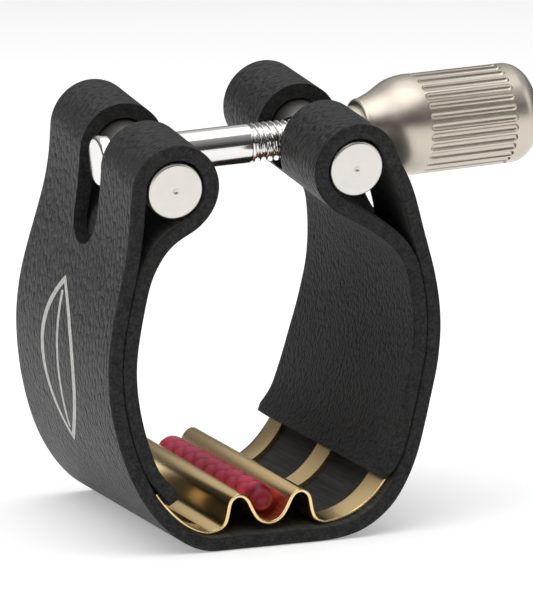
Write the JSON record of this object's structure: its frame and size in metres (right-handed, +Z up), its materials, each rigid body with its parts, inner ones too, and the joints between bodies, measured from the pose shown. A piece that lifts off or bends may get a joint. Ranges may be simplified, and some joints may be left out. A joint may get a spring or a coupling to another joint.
{
  "type": "saxophone ligature",
  "caption": "Black leather saxophone ligature with a brass contact plate, crimson contact cord, cross pins, a headed cross screw and a fluted thumb nut.",
  "frame": {"origin": "centre of the underside of the strap's flat base, where the ligature rests", "axes": "+X along the cross screw towards the thumb nut, +Y along the mouthpiece towards its shank, +Z up"},
  "size_m": [0.0443, 0.0307, 0.0411],
  "materials": {
    "leather_grain": "grained, semi-matte black",
    "leather_lining": "grained, semi-matte black",
    "gold_plate": "gold-plated, satin to polished",
    "crimson_cord": "waxed cord, semi-gloss",
    "polished_nickel": "turned and nickel-plated, polished",
    "satin_nickel": "nickel-plated, bead-blasted satin"
  },
  "bodies": {
    "cradle": {"strap_base": "leather_grain", "contact_plate": "gold_plate", "contact_cord": "crimson_cord"},
    "left_arm": {"strap_arm_left": "leather_grain", "lining_left": "leather_lining"},
    "right_arm": {"strap_arm_right": "leather_grain", "lining_right": "leather_lining"},
    "swivel": {"swivel_pin": "polished_nickel", "headed_screw": "polished_nickel"},
    "thrust": {"thrust_pin": "polished_nickel"},
    "nut": {"thumb_nut": "satin_nickel"}
  },
  "joints": [
    {"name": "left_arm_flex", "type": "hinge", "parent": "cradle", "child": "left_arm", "pos_m": [-0.01097, -0.00012, 0.0059], "axis": [0, 0.981, 0.1942], "range_deg": [-0.63, 3.71]},
    {"name": "right_arm_flex", "type": "hinge", "parent": "cradle", "child": "right_arm", "pos_m": [0.01322, -0.00012, 0.00589], "axis": [0, 0.981, 0.1942], "range_deg": [-3.55, 0.61]},
    {"name": "swivel_pin_turn", "type": "hinge", "parent": "left_arm", "child": "swivel", "pos_m": [-0.0084, -0.00395, 0.0338], "axis": [0, 0.981, 0.1942], "range_deg": [-4.29, 0.73]},
    {"name": "thrust_pin_turn", "type": "hinge", "parent": "right_arm", "child": "thrust", "pos_m": [0.0084, -0.00419, 0.03501], "axis": [0, 0.981, 0.1942], "range_deg": [-0.51, 2.97]},
    {"name": "thumb_nut_spin", "type": "hinge", "parent": "thrust", "child": "nut", "pos_m": [0.01838, -0.00487, 0.03562], "axis": [-0.9973, 0.0142, -0.0718], "range_deg": [-360, 2160]}
  ],
  "couplings": [
    {"joint": "left_arm_flex", "follows": "thumb_nut_spin", "ratio": 0.0017069},
    {"joint": "right_arm_flex", "follows": "thumb_nut_spin", "ratio": -0.0016344},
    {"joint": "swivel_pin_turn", "follows": "thumb_nut_spin", "ratio": -0.0019774},
    {"joint": "thrust_pin_turn", "follows": "thumb_nut_spin", "ratio": 0.001364}
  ]
}
